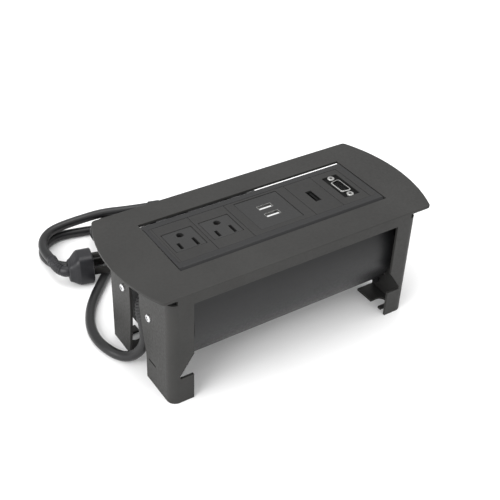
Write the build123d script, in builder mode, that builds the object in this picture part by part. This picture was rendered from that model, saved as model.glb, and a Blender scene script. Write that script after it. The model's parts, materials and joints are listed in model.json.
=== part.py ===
"""Desk power strip that flips over in its mounting frame.

A bent sheet frame hangs in a desk cut-out. A drum turns in it about a lengthwise axis and
shows either the socket panel or a blank cover. Millimetres, X along the drum, Y to the back,
Z up, origin on the surface that the feet stand on, under the middle of the top plate.
"""
from build123d import *
from math import pi, radians, tan
import os

os.makedirs("parts", exist_ok=True)

# ---------------------------------------------------------------- driving dimensions
# top plate
PLATE_TOP = 97.0          # height of the plate's face above the feet
SHEET = 2.0               # sheet thickness
PLATE_WIDTH = 110.0
PLATE_LENGTH = 257.4      # over the curved ends
PLATE_STRAIGHT = 232.0    # length of the straight long edges
OPENING_X = (-89.3, 92.9)
OPENING_Y = (-29.9, 33.3)
APRON_DEPTH = 9.3         # flange along the long edges

# legs
LEG_X = (-112.0, 104.0)   # outer faces of the side plates
LEG_BEND = 7.0            # outer radius between front flange and side plate
LEG_FLANGE = 18.8         # width of the front flange at a leg
SIDE_BACK = 35.5          # rear edge of the side plates
FOOT_WIDTH = 15.5         # turned-in foot at the bottom of each leg
FOOT_SLOT = 9.0           # width of the open slot in a foot

# drum
AXIS_Y = (OPENING_Y[0] + OPENING_Y[1]) / 2
AXIS_Z = 56.3
DRUM_RADIUS = 49.3
DRUM_FLAT = 40.5          # from the axis to either flat face
DRUM_X = (-88.5, 92.1)
CAP_THICKNESS = 3.0
WALL = 2.3
FACE_THICKNESS = 2.0
FACE_WIDTH = 45.4         # width of the socket faces across the drum
FACE_GAP = 0.1

# bearings
BEARING_PLATE_X = (-97.0, 95.0)   # lower X face of each bearing plate
BUSH_BORE = 7.95
JOURNAL_RADIUS = 7.9
BUSH_OUTER = 9.2
BUSH_FLANGE = 10.6         # radius of the bush flange and of the cap bosses
SCREW_RADIUS = 2.0
SCREW_Y = (-24.2, 15.6)
SCREW_Z = 60.7

# cord
CORD_DIAMETER = 8.0
BOOT_DIAMETER = 10.0

FRONT = -PLATE_WIDTH / 2
BACK = PLATE_WIDTH / 2
FACE_TOP = AXIS_Z + DRUM_FLAT             # level of the socket faces
FACE_SEAT = FACE_TOP - FACE_THICKNESS     # ledge that the faces rest on
SHELL_X = (DRUM_X[0] + CAP_THICKNESS, DRUM_X[1] - CAP_THICKNESS)


def save(builder, name):
    """Label a finished piece and write it to its own file."""
    builder.part.label = name
    export_step(builder.part, f"parts/{name}.step")


def box_between(low, high, mode=Mode.ADD):
    """A box from its lowest corner to its highest corner."""
    size = [high[i] - low[i] for i in range(3)]
    with Locations(tuple((high[i] + low[i]) / 2 for i in range(3))):
        Box(*size, mode=mode)


def x_cylinder(radius, start, end, y=AXIS_Y, z=AXIS_Z, mode=Mode.ADD):
    """A cylinder along X between two places."""
    with Locations(((start + end) / 2, y, z)):
        Cylinder(radius, abs(end - start), rotation=(0, 90, 0), mode=mode)


# ---------------------------------------------------------------- frame
NOTCH_TOP = 42.6          # where the hook notch leaves the leg's inner edge
NOTCH_TIP = 26.0
HOOK_TOP = 23.0
NOTCH_DEPTH = 11.1
RELIEF_LOW = PLATE_TOP - SHEET - 4.0

with BuildPart() as frame_shell:
    # top plate, its upper edge eased
    with BuildSketch(Plane.XY.offset(PLATE_TOP - SHEET)):
        with BuildLine():
            half = PLATE_STRAIGHT / 2
            Line((-half, FRONT), (half, FRONT))
            ThreePointArc((half, FRONT), (PLATE_LENGTH / 2, 0), (half, BACK))
            Line((half, BACK), (-half, BACK))
            ThreePointArc((-half, BACK), (-PLATE_LENGTH / 2, 0), (-half, FRONT))
        make_face()
        fillet(vertices(), 4.0)
    extrude(amount=SHEET)
    fillet(edges().group_by(Axis.Z)[-1], 0.7)
    # strip bent round the front and both ends
    with BuildSketch():
        with BuildLine():
            Polyline((LEG_X[0], SIDE_BACK), (LEG_X[0], FRONT), (LEG_X[1], FRONT),
                     (LEG_X[1], SIDE_BACK), close=True)
        make_face()
        fillet(vertices().group_by(Axis.Y)[0], LEG_BEND)
    extrude(amount=PLATE_TOP - SHEET)
    with BuildSketch():
        with BuildLine():
            Polyline((LEG_X[0] + SHEET, SIDE_BACK + 1), (LEG_X[0] + SHEET, FRONT + SHEET),
                     (LEG_X[1] - SHEET, FRONT + SHEET), (LEG_X[1] - SHEET, SIDE_BACK + 1), close=True)
        make_face()
        fillet(vertices().group_by(Axis.Y)[0], LEG_BEND - SHEET)
    extrude(amount=PLATE_TOP - SHEET, mode=Mode.SUBTRACT)
    # front window below the apron, with a hook notch in each leg
    inner = (LEG_X[0] + LEG_FLANGE, LEG_X[1] - LEG_FLANGE)
    with BuildSketch(Plane.XZ.offset(-FRONT - SHEET - 1)):
        with BuildLine():
            Polyline((inner[0], -1), (inner[0], HOOK_TOP), (inner[0] - NOTCH_DEPTH, HOOK_TOP),
                     (inner[0] - NOTCH_DEPTH, NOTCH_TIP), (inner[0], NOTCH_TOP),
                     (inner[0], PLATE_TOP - APRON_DEPTH), (inner[1], PLATE_TOP - APRON_DEPTH),
                     (inner[1], NOTCH_TOP), (inner[1] + NOTCH_DEPTH, NOTCH_TIP),
                     (inner[1] + NOTCH_DEPTH, HOOK_TOP), (inner[1], HOOK_TOP), (inner[1], -1), close=True)
        make_face()
    extrude(amount=SHEET + 2, mode=Mode.SUBTRACT)
    # arch between the front and the rear leg of each side plate
    with BuildSketch(Plane.YZ.offset(LEG_X[0] - 1)):
        with BuildLine():
            Polyline((-18.2, -1), (-18.2, 22), (-13.8, 41), (-9.8, 62), (-9.8, 77), (5.2, 77),
                     (5.2, 42.5), (9.0, 4), (9.0, -1), close=True)
        make_face()
        fillet(vertices().group_by(Axis.Y)[-1], 7.0)
    extrude(amount=LEG_X[1] - LEG_X[0] + 2, mode=Mode.SUBTRACT)
    # rear flange
    box_between((LEG_X[0] + LEG_BEND, BACK - SHEET, PLATE_TOP - APRON_DEPTH),
                (LEG_X[1] - LEG_BEND, BACK, PLATE_TOP - SHEET))
    # feet turned in at the bottom of the legs
    for edge, side in ((LEG_X[0] + SHEET, 1), (LEG_X[1] - SHEET, -1)):
        for near, far, slot_y in ((FRONT + LEG_BEND, -18.2, -40.3), (9.0, SIDE_BACK, 24.0)):
            ends = sorted((edge, edge + side * FOOT_WIDTH))
            box_between((ends[0], near, 0), (ends[1], far, SHEET))
            with BuildSketch():
                with Locations((edge + side * FOOT_WIDTH, slot_y)):
                    SlotCenterToCenter(13.0, FOOT_SLOT)
            extrude(amount=SHEET, mode=Mode.SUBTRACT)
    # drum opening
    box_between((OPENING_X[0], OPENING_Y[0], PLATE_TOP - SHEET - 1),
                (OPENING_X[1], OPENING_Y[1], PLATE_TOP + 1), mode=Mode.SUBTRACT)
    # corner reliefs above the leg bends
    for low, high in ((LEG_X[0] - 1, LEG_X[0] + LEG_BEND - 0.5), (LEG_X[1] - LEG_BEND + 0.5, LEG_X[1] + 1)):
        box_between((low, FRONT - 1, RELIEF_LOW), (high, FRONT + LEG_BEND + 2, PLATE_TOP - SHEET),
                    mode=Mode.SUBTRACT)
    # screw holes and tie slits in the side plates
    for start in (LEG_X[0] - 1, LEG_X[1] - SHEET - 1):
        for y in SCREW_Y:
            x_cylinder(SCREW_RADIUS, start, start + SHEET + 2, y, SCREW_Z, mode=Mode.SUBTRACT)
        box_between((start, -32.0, 19.2), (start + SHEET + 2, -22.0, 20.8), mode=Mode.SUBTRACT)
save(frame_shell, "frame_shell")

# ---------------------------------------------------------------- bearings on the frame
BEARING_LOW = AXIS_Z - 44.0
BEARING_HIGH = AXIS_Z + 20.0
INSERT_RADIUS = 1.5       # screw core inside a standoff
STANDOFF_RADIUS = 4.0
STOP_RADIUS = 30.0        # from the axis to the stop pin
STOP_PIN = 2.0


def bearing_plate(start):
    """Plate across the frame's end, with a bush hole and two screw holes."""
    with BuildPart() as plate:
        box_between((start, SCREW_Y[0] - 7, BEARING_LOW), (start + SHEET, AXIS_Y + 34, BEARING_HIGH))
        x_cylinder(BUSH_OUTER, start, start + SHEET, mode=Mode.SUBTRACT)
        for y in SCREW_Y:
            x_cylinder(INSERT_RADIUS, start, start + SHEET, y, SCREW_Z, mode=Mode.SUBTRACT)
        fillet(edges().filter_by(Axis.X), 3.0)
    return plate


def bush(plate_start, inward):
    """Flanged nylon bush; inward is the X direction that points at the drum."""
    inner_face = plate_start + SHEET if inward > 0 else plate_start
    outer_face = plate_start if inward > 0 else plate_start + SHEET
    with BuildPart() as ring:
        x_cylinder(BUSH_OUTER, min(inner_face, outer_face), max(inner_face, outer_face))
        flange = sorted((inner_face, inner_face + inward))
        x_cylinder(BUSH_FLANGE, *flange)
        ends = (min(inner_face, outer_face) - 1.5, max(inner_face, outer_face) + 1.5)
        x_cylinder(BUSH_BORE, *ends, mode=Mode.SUBTRACT)
    return ring


left_bearing_plate = bearing_plate(BEARING_PLATE_X[0])
with BuildPart() as left_plate_with_pin_hole:
    add(left_bearing_plate.part)
    x_cylinder(STOP_PIN, BEARING_PLATE_X[0] - 1, BEARING_PLATE_X[0] + SHEET + 1,
               AXIS_Y + STOP_RADIUS, AXIS_Z, mode=Mode.SUBTRACT)
save(left_plate_with_pin_hole, "left_bearing_plate")
right_bearing_plate = bearing_plate(BEARING_PLATE_X[1])
save(right_bearing_plate, "right_bearing_plate")
left_bush = bush(BEARING_PLATE_X[0], 1)
save(left_bush, "left_bush")
right_bush = bush(BEARING_PLATE_X[1], -1)
save(right_bush, "right_bush")

STANDOFF_SPANS = ((LEG_X[0] + SHEET, BEARING_PLATE_X[0]),
                  (BEARING_PLATE_X[1] + SHEET, LEG_X[1] - SHEET))

with BuildPart() as bearing_standoffs:
    for low, high in STANDOFF_SPANS:
        for y in SCREW_Y:
            with BuildSketch(Plane.YZ.offset(low)):
                with Locations((y, SCREW_Z)):
                    RegularPolygon(STANDOFF_RADIUS, 6)
                    Circle(INSERT_RADIUS, mode=Mode.SUBTRACT)
            extrude(amount=high - low)
save(bearing_standoffs, "bearing_standoffs")

HEAD_RADIUS = 3.0
HEAD_HEIGHT = 1.5
DRIVE_LENGTH = 4.0        # cross recess in a screw head
DRIVE_WIDTH = 1.0


def rim_edges(radius, places):
    """Circular edges of one radius that lie at any of the given X places."""
    circles = edges().filter_by(GeomType.CIRCLE)
    return circles.filter_by(
        lambda e: abs(e.radius - radius) < 0.01 and any(abs(e.center().X - x) < 0.01 for x in places))


with BuildPart() as side_screws:
    head_tops = (LEG_X[0] - HEAD_HEIGHT, LEG_X[1] + HEAD_HEIGHT)
    for seat, direction, length in ((LEG_X[0], 1, 7.0), (LEG_X[1], -1, 4.2)):
        for y in SCREW_Y:
            x_cylinder(HEAD_RADIUS, seat - direction * HEAD_HEIGHT, seat, y, SCREW_Z)
            x_cylinder(SCREW_RADIUS, seat, seat + direction * SHEET, y, SCREW_Z)
            x_cylinder(INSERT_RADIUS, seat, seat + direction * length, y, SCREW_Z)
    fillet(rim_edges(HEAD_RADIUS, head_tops), 0.9)
    for top in head_tops:
        for y in SCREW_Y:
            with Locations((top, y, SCREW_Z)):
                Box(1.4, DRIVE_WIDTH, DRIVE_LENGTH, mode=Mode.SUBTRACT)
                Box(1.4, DRIVE_LENGTH, DRIVE_WIDTH, mode=Mode.SUBTRACT)
save(side_screws, "side_screws")

with BuildPart() as bearing_screws:
    seats = (BEARING_PLATE_X[0] + SHEET, BEARING_PLATE_X[1])
    for seat, direction, length in ((seats[0], -1, 8.0), (seats[1], 1, 4.4)):
        for y in SCREW_Y:
            x_cylinder(3.0, seat - direction * HEAD_HEIGHT, seat, y, SCREW_Z)
            x_cylinder(INSERT_RADIUS, seat, seat + direction * length, y, SCREW_Z)
save(bearing_screws, "bearing_screws")

with BuildPart() as stop_pin:
    x_cylinder(STOP_PIN, BEARING_PLATE_X[0], DRUM_X[0] + 1.6, y=AXIS_Y + STOP_RADIUS)
save(stop_pin, "stop_pin")

with BuildPart() as friction_washer:
    x_cylinder(BUSH_FLANGE, BEARING_PLATE_X[1] - 1.4, BEARING_PLATE_X[1] - 1.0)
    x_cylinder(8.2, BEARING_PLATE_X[1] - 2, BEARING_PLATE_X[1], mode=Mode.SUBTRACT)
save(friction_washer, "friction_washer")

# ---------------------------------------------------------------- drum shell and end caps
FACE_RECESS = FACE_WIDTH / 2 + FACE_GAP
LEDGE = 20.0              # half-width of the slot that the sockets hang through
CAVITY_FLAT = 35.5
CAP_SCREW_SPOTS = [(AXIS_Y + 36 * i, AXIS_Z + 25 * j) for i in (-1, 1) for j in (-1, 1)]
CAP_SCREW_RADIUS = 1.25

with BuildPart() as drum_shell:
    with BuildSketch(Plane.YZ.offset(SHELL_X[0])):
        with Locations((AXIS_Y, AXIS_Z)):
            Circle(DRUM_RADIUS)
            Rectangle(120, 2 * DRUM_FLAT, mode=Mode.INTERSECT)
    extrude(amount=SHELL_X[1] - SHELL_X[0])
    with BuildSketch(Plane.YZ.offset(SHELL_X[0])):
        with Locations((AXIS_Y, AXIS_Z)):
            Circle(DRUM_RADIUS - WALL)
            Rectangle(120, 2 * CAVITY_FLAT, mode=Mode.INTERSECT)
    extrude(amount=SHELL_X[1] - SHELL_X[0], mode=Mode.SUBTRACT)
    for y, z in CAP_SCREW_SPOTS:
        x_cylinder(4.2, SHELL_X[0], SHELL_X[1], y, z)
        x_cylinder(CAP_SCREW_RADIUS, SHELL_X[0], SHELL_X[1], y, z, mode=Mode.SUBTRACT)
    box_between((SHELL_X[0], AXIS_Y - LEDGE, AXIS_Z), (SHELL_X[1], AXIS_Y + LEDGE, FACE_TOP),
                mode=Mode.SUBTRACT)
    for low in (FACE_SEAT, AXIS_Z - DRUM_FLAT):
        box_between((SHELL_X[0], AXIS_Y - FACE_RECESS, low),
                    (SHELL_X[1], AXIS_Y + FACE_RECESS, low + FACE_THICKNESS), mode=Mode.SUBTRACT)
    flat_corners = edges().filter_by(Axis.X).filter_by(
        lambda e: abs(abs(e.center().Z - AXIS_Z) - DRUM_FLAT) < 0.01
        and abs(e.center().Y - AXIS_Y) > 26)
    fillet(flat_corners, 0.8)
save(drum_shell, "drum_shell")

CAP_HEAD_RADIUS = 3.0
STOP_GROOVE = 2.5         # half-width of the groove that the stop pin runs in


def end_cap(outer, inner, boss_end, bore):
    """End of the drum with its bearing boss; outer and inner are its faces' places on X."""
    low, high = sorted((outer, inner))
    with BuildPart() as cap:
        with BuildSketch(Plane.YZ.offset(low)) as profile:
            with Locations((AXIS_Y, AXIS_Z)):
                Circle(DRUM_RADIUS)
                Rectangle(120, 2 * DRUM_FLAT, mode=Mode.INTERSECT)
        extrude(profile.sketch, amount=high - low)
        x_cylinder(BUSH_FLANGE, outer, boss_end)
        x_cylinder(bore, min(low, boss_end) - 1, max(high, boss_end) + 1, mode=Mode.SUBTRACT)
        head = 1.6 if inner > outer else -1.6
        for y, z in CAP_SCREW_SPOTS:
            x_cylinder(CAP_SCREW_RADIUS, low - 1, high + 1, y, z, mode=Mode.SUBTRACT)
            x_cylinder(CAP_HEAD_RADIUS, outer, outer + head, y, z, mode=Mode.SUBTRACT)
    return cap


left_end_cap = end_cap(DRUM_X[0], SHELL_X[0], BEARING_PLATE_X[0] + SHEET + 1.3, JOURNAL_RADIUS)
with BuildPart() as left_cap_with_groove:
    add(left_end_cap.part)
    with BuildSketch(Plane.YZ.offset(DRUM_X[0])):
        with Locations((AXIS_Y, AXIS_Z)):
            Circle(STOP_RADIUS + STOP_GROOVE)
            Circle(STOP_RADIUS - STOP_GROOVE, mode=Mode.SUBTRACT)
            with Locations((0, -STOP_RADIUS)):
                Rectangle(200, 2 * STOP_RADIUS, mode=Mode.INTERSECT)
            with Locations((STOP_RADIUS, 0), (-STOP_RADIUS, 0)):
                Circle(STOP_GROOVE)
    extrude(amount=2.0, mode=Mode.SUBTRACT)
save(left_cap_with_groove, "left_end_cap")
right_end_cap = end_cap(DRUM_X[1], SHELL_X[1], BEARING_PLATE_X[1] - 1.6, 6.0)
save(right_end_cap, "right_end_cap")

with BuildPart() as left_journal:
    x_cylinder(JOURNAL_RADIUS, BEARING_PLATE_X[0] - 1.0, SHELL_X[0] + 2.0)
    x_cylinder(14.0, SHELL_X[0], SHELL_X[0] + 2.0)
    x_cylinder(5.5, BEARING_PLATE_X[0] - 2, SHELL_X[0] + 3, mode=Mode.SUBTRACT)
save(left_journal, "left_journal")

with BuildPart() as right_journal:
    x_cylinder(6.0, SHELL_X[1] - 2.0, BEARING_PLATE_X[1] - 1.6)
    x_cylinder(JOURNAL_RADIUS, BEARING_PLATE_X[1] - 1.6, BEARING_PLATE_X[1] + SHEET + 1.0)
    x_cylinder(14.0, SHELL_X[1] - 2.0, SHELL_X[1])
save(right_journal, "right_journal")

with BuildPart() as end_cap_screws:
    for seat, direction in ((DRUM_X[0] + 1.6, 1), (DRUM_X[1] - 1.6, -1)):
        for y, z in CAP_SCREW_SPOTS:
            x_cylinder(CAP_HEAD_RADIUS - 0.2, seat - direction * HEAD_HEIGHT, seat, y, z)
            x_cylinder(CAP_SCREW_RADIUS, seat, seat + direction * 12.0, y, z)
            with Locations((seat - direction * HEAD_HEIGHT, y, z)):
                Box(1.4, 3.4, 0.9, mode=Mode.SUBTRACT)
                Box(1.4, 0.9, 3.4, mode=Mode.SUBTRACT)
save(end_cap_screws, "end_cap_screws")

# ---------------------------------------------------------------- socket faces
SEAMS = (-83.5, -53.0, -22.0, 33.1, 58.8, 84.5)   # seams between the faces, along X
FACE_Y = (AXIS_Y - FACE_WIDTH / 2, AXIS_Y + FACE_WIDTH / 2)
OUTLET_X = (-68.6, -37.5)
OUTLET_Y = 1.9
OUTLET_SIZE = (25.2, 23.9)
INSERT_GAP = 0.25
INSERT_SINK = 0.2
BLADE_SPACING = 12.7
BLADE_Y = -6.0            # blade slots, from the insert's middle
GROUND_Y = 5.9
LIVE_SLOT = (2.5, 7.4)
NEUTRAL_SLOT = (2.5, 9.4)
GROUND_RADIUS = 2.7
HOUSING_DEPTH = 22.0
USB_CENTRE = (4.95, 2.65)
USB_SIZE = 38.5
USB_PORT_X = 5.25
USB_PORT_Y = (8.1, -2.4)
USB_PORT = (12.6, 5.2)
HDMI_CENTRE = (45.6, 1.1)
HDMI_PORT = (5.4, 14.8)
VGA_CENTRE = (73.0, 2.4)
VGA_PLATE = (14.4, 30.9)
JACK_SPACING = 25.0


def face_blank(start, end):
    """Plain socket face between two seams, its upper edges eased."""
    with BuildPart() as blank:
        box_between((start + 0.1, FACE_Y[0], FACE_SEAT), (end - 0.1, FACE_Y[1], FACE_TOP))
        fillet(edges().group_by(Axis.Z)[-1], 0.35)
    return blank.part


def upright_box(centre, size, low, high, mode=Mode.ADD):
    """Box about an upright axis between two heights."""
    with Locations((centre[0], centre[1], (low + high) / 2)):
        Box(size[0], size[1], high - low, mode=mode)


for number, outlet_x in enumerate(OUTLET_X, 1):
    spots = ((outlet_x - BLADE_SPACING / 2, OUTLET_Y + BLADE_Y, LIVE_SLOT),
             (outlet_x + BLADE_SPACING / 2, OUTLET_Y + BLADE_Y, NEUTRAL_SLOT))
    ground = (outlet_x, OUTLET_Y + GROUND_Y)
    with BuildPart() as outlet_face:
        add(face_blank(SEAMS[number - 1], SEAMS[number]))
        upright_box((outlet_x, OUTLET_Y), OUTLET_SIZE, FACE_SEAT - 1, FACE_TOP + 1, mode=Mode.SUBTRACT)
        fillet(edges().group_by(Axis.Z)[-1].filter_by(
            lambda e: abs(e.center().X - outlet_x) < 13 and abs(e.center().Y - OUTLET_Y) < 12.5), 0.3)
    save(outlet_face, f"outlet_face_{number}")
    with BuildPart() as outlet_insert:
        size = [side - 2 * INSERT_GAP for side in OUTLET_SIZE]
        upright_box((outlet_x, OUTLET_Y), size, FACE_TOP - 4.0, FACE_TOP - INSERT_SINK)
        fillet(edges().filter_by(Axis.Z), 1.0)
        fillet(edges().group_by(Axis.Z)[-1], 0.4)
        for x, y, slot in spots:
            upright_box((x, y), slot, FACE_TOP - 5, FACE_TOP, mode=Mode.SUBTRACT)
        with BuildSketch(Plane.XY.offset(FACE_TOP - 5)):
            with Locations(ground):
                Circle(GROUND_RADIUS)
                with Locations((0, -GROUND_RADIUS / 2 + 0.4)):
                    Rectangle(2 * GROUND_RADIUS, GROUND_RADIUS - 0.8)
        extrude(amount=5, mode=Mode.SUBTRACT)
    save(outlet_insert, f"outlet_insert_{number}")
    with BuildPart() as outlet_housing:
        upright_box((outlet_x, AXIS_Y), (29.0, 2 * LEDGE - 0.6), FACE_SEAT - HOUSING_DEPTH, FACE_SEAT)
        pocket = [side - 2 * INSERT_GAP for side in OUTLET_SIZE]
        upright_box((outlet_x, OUTLET_Y), pocket, FACE_TOP - 4.0, FACE_SEAT, mode=Mode.SUBTRACT)
        for x, y, slot in spots:
            upright_box((x, y), (5.2, 9.8), FACE_TOP - 20, FACE_TOP - 4.0, mode=Mode.SUBTRACT)
        upright_box(ground, (7.6, 7.6), FACE_TOP - 20, FACE_TOP - 4.0, mode=Mode.SUBTRACT)
    save(outlet_housing, f"outlet_housing_{number}")
    with BuildPart() as outlet_contacts:
        for x, y, slot in spots:
            upright_box((x, y), (4.4, 7.0), FACE_TOP - 20, FACE_TOP - 5.0)
            upright_box((x, y), (2.6, 7.2), FACE_TOP - 18.5, FACE_TOP - 4.0, mode=Mode.SUBTRACT)
        upright_box(ground, (7.0, 7.0), FACE_TOP - 20, FACE_TOP - 5.0)
        upright_box(ground, (5.4, 5.4), FACE_TOP - 18.5, FACE_TOP - 4.0, mode=Mode.SUBTRACT)
    save(outlet_contacts, f"outlet_contacts_{number}")

with BuildPart() as usb_face:
    add(face_blank(SEAMS[2], SEAMS[3]))
    upright_box(USB_CENTRE, (USB_SIZE, USB_SIZE), FACE_SEAT - 1, FACE_TOP + 1, mode=Mode.SUBTRACT)
save(usb_face, "usb_face")

PORT_SPOTS = [(USB_PORT_X, y) for y in USB_PORT_Y]

with BuildPart() as usb_insert:
    side = USB_SIZE - 2 * INSERT_GAP
    upright_box(USB_CENTRE, (side, side), FACE_SEAT, FACE_TOP - INSERT_SINK)
    fillet(edges().group_by(Axis.Z)[-1], 0.35)
    upright_box((USB_CENTRE[0], AXIS_Y), (side, 2 * LEDGE - 0.6), FACE_SEAT - 14, FACE_SEAT)
    for spot in PORT_SPOTS:
        upright_box(spot, USB_PORT, FACE_SEAT - 12.4, FACE_TOP, mode=Mode.SUBTRACT)
save(usb_insert, "usb_insert")

with BuildPart() as usb_shells:
    for spot in PORT_SPOTS:
        upright_box(spot, (12.5, 5.1), FACE_SEAT - 12.0, FACE_TOP - 0.3)
        upright_box(spot, (11.9, 4.5), FACE_SEAT - 11.6, FACE_TOP, mode=Mode.SUBTRACT)
save(usb_shells, "usb_shells")

with BuildPart() as usb_tongues:
    for x, y in PORT_SPOTS:
        upright_box((x, y - 1.0), (10.6, 1.9), FACE_SEAT - 11.6, FACE_TOP - 0.9)
save(usb_tongues, "usb_tongues")

with BuildPart() as usb_charger_board:
    upright_box((USB_CENTRE[0], AXIS_Y), (34.0, 34.0), FACE_SEAT - 15.6, FACE_SEAT - 14.0)
    for x in (-4, 8):
        upright_box((x, AXIS_Y - 6), (8.0, 9.0), FACE_SEAT - 22.0, FACE_SEAT - 15.6)
save(usb_charger_board, "usb_charger_board")

with BuildPart() as hdmi_face:
    add(face_blank(SEAMS[3], SEAMS[4]))
    upright_box(HDMI_CENTRE, HDMI_PORT, FACE_SEAT - 1, FACE_TOP + 1, mode=Mode.SUBTRACT)
save(hdmi_face, "hdmi_face")

with BuildPart() as hdmi_shell:
    width, length = HDMI_PORT
    upright_box(HDMI_CENTRE, (width - 0.2, length - 0.2), FACE_SEAT - 10.0, FACE_TOP - 0.3)
    low_corners = edges().filter_by(Axis.Z).group_by(Axis.X)[0]
    chamfer(low_corners, 1.6)
    upright_box(HDMI_CENTRE, (width - 0.9, length - 2.9), FACE_SEAT - 9.6, FACE_TOP, mode=Mode.SUBTRACT)
save(hdmi_shell, "hdmi_shell")

with BuildPart() as hdmi_tongue:
    upright_box((HDMI_CENTRE[0] + 0.5, HDMI_CENTRE[1]), (2.0, length - 4.4), FACE_SEAT - 9.6, FACE_TOP - 0.6)
save(hdmi_tongue, "hdmi_tongue")

with BuildPart() as hdmi_coupler:
    upright_box((HDMI_CENTRE[0], AXIS_Y), (20.0, 30.0), FACE_SEAT - 24.0, FACE_SEAT - 10.0)
save(hdmi_coupler, "hdmi_coupler")

VGA_RECESS = 0.9
JACKS = [(VGA_CENTRE[0], VGA_CENTRE[1] + side * JACK_SPACING / 2) for side in (-1, 1)]

with BuildPart() as vga_face:
    add(face_blank(SEAMS[4], SEAMS[5]))
    upright_box(VGA_CENTRE, VGA_PLATE, FACE_SEAT - 1, FACE_TOP + 1, mode=Mode.SUBTRACT)
save(vga_face, "vga_face")

with BuildPart() as vga_plate:
    upright_box(VGA_CENTRE, (VGA_PLATE[0] - 0.2, VGA_PLATE[1] - 0.2), FACE_SEAT, FACE_TOP - VGA_RECESS)
    for spot in JACKS:
        with Locations((*spot, FACE_SEAT)):
            Cylinder(1.6, 8, mode=Mode.SUBTRACT)
    upright_box(VGA_CENTRE, (7.6, 16.2), FACE_SEAT - 1, FACE_TOP, mode=Mode.SUBTRACT)
save(vga_plate, "vga_plate")


with BuildPart() as vga_shell:
    with BuildSketch(Plane.XY.offset(FACE_TOP - VGA_RECESS)) as collar:
        with BuildLine(Plane(origin=(*VGA_CENTRE, 0))):
            Polyline((4.6, -9.0), (4.6, 9.0), (-4.6, 7.4), (-4.6, -7.4), close=True)
        make_face()
        fillet(vertices(), 2.2)
    extrude(amount=VGA_RECESS + 0.1)
    fillet(edges().group_by(Axis.Z)[-1], 0.4)
    with BuildSketch(Plane.XY.offset(FACE_TOP - VGA_RECESS)):
        with BuildLine(Plane(origin=(*VGA_CENTRE, 0))):
            Polyline((3.7, -8.1), (3.7, 8.1), (-3.7, 6.6), (-3.7, -6.6), close=True)
        make_face()
        fillet(vertices(), 1.6)
    extrude(amount=VGA_RECESS + 1, mode=Mode.SUBTRACT)
save(vga_shell, "vga_shell")

with BuildPart() as vga_insulator:
    upright_box(VGA_CENTRE, (6.2, 13.0), FACE_SEAT - 8.0, FACE_TOP - VGA_RECESS)
    for row, count in ((-2.0, 5), (0.0, 5), (2.0, 5)):
        with Locations((VGA_CENTRE[0] + row, VGA_CENTRE[1], FACE_TOP - VGA_RECESS)):
            with GridLocations(1, 2.3, 1, count):
                Cylinder(0.55, 6.0, mode=Mode.SUBTRACT)
save(vga_insulator, "vga_insulator")

with BuildPart() as vga_jackscrews:
    for spot in JACKS:
        with BuildSketch(Plane.XY.offset(FACE_TOP - VGA_RECESS)):
            with Locations(spot):
                Circle(2.9)
        extrude(amount=VGA_RECESS + 0.1)
        with Locations((*spot, FACE_TOP - 3.0)):
            Cylinder(1.6, 2 * (3.0 - VGA_RECESS))
        with Locations((*spot, FACE_TOP)):
            Cylinder(1.2, 4.0, mode=Mode.SUBTRACT)
    fillet(edges().filter_by(GeomType.CIRCLE).group_by(Axis.Z)[-1].filter_by(
        lambda e: abs(e.radius - 2.9) < 0.01), 0.5)
save(vga_jackscrews, "vga_jackscrews")

with BuildPart() as vga_coupler:
    upright_box((VGA_CENTRE[0], AXIS_Y), (18.0, 34.0), FACE_SEAT - 24.0, FACE_SEAT - 8.0)
save(vga_coupler, "vga_coupler")

with BuildPart() as end_trims:
    for low, high in ((SHELL_X[0], SEAMS[0]), (SEAMS[-1], SHELL_X[1])):
        box_between((low + 0.1, FACE_Y[0], FACE_SEAT), (high, FACE_Y[1], FACE_TOP))
save(end_trims, "end_trims")

with BuildPart() as cover_plate:
    bottom = AXIS_Z - DRUM_FLAT
    box_between((SHELL_X[0] + 0.1, FACE_Y[0], bottom),
                (SHELL_X[1] - 0.1, FACE_Y[1], bottom + FACE_THICKNESS))
    fillet(edges().group_by(Axis.Z)[0], 0.4)
save(cover_plate, "cover_plate")

# ---------------------------------------------------------------- wiring inside the drum
with BuildPart() as terminal_block:
    box_between((-18.0, AXIS_Y - 16, AXIS_Z - 30), (10.0, AXIS_Y + 16, AXIS_Z - 18))
save(terminal_block, "terminal_block")

for name, y in (("live_lead", -4.5), ("neutral_lead", 0.0), ("earth_lead", 4.5)):
    with BuildPart() as lead:
        with BuildLine():
            start = (SHELL_X[0] + 3, AXIS_Y + y, AXIS_Z)
            FilletPolyline(start, (-64.0, AXIS_Y + y, AXIS_Z), (-40.0, AXIS_Y + y, AXIS_Z - 24),
                           (-18.0, AXIS_Y + y, AXIS_Z - 24), radius=12)
        with BuildSketch(Plane(origin=start, z_dir=(1, 0, 0))):
            Circle(1.6)
        sweep()
    save(lead, name)

# ---------------------------------------------------------------- mains cord
BOOT_CORNER = Vector(-107.0, AXIS_Y, AXIS_Z)
CORD_FALL = Vector(0, -0.39, -0.921).normalized()   # direction in which the cord leaves the boot
CORD_START = BOOT_CORNER + CORD_FALL * 16

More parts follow.
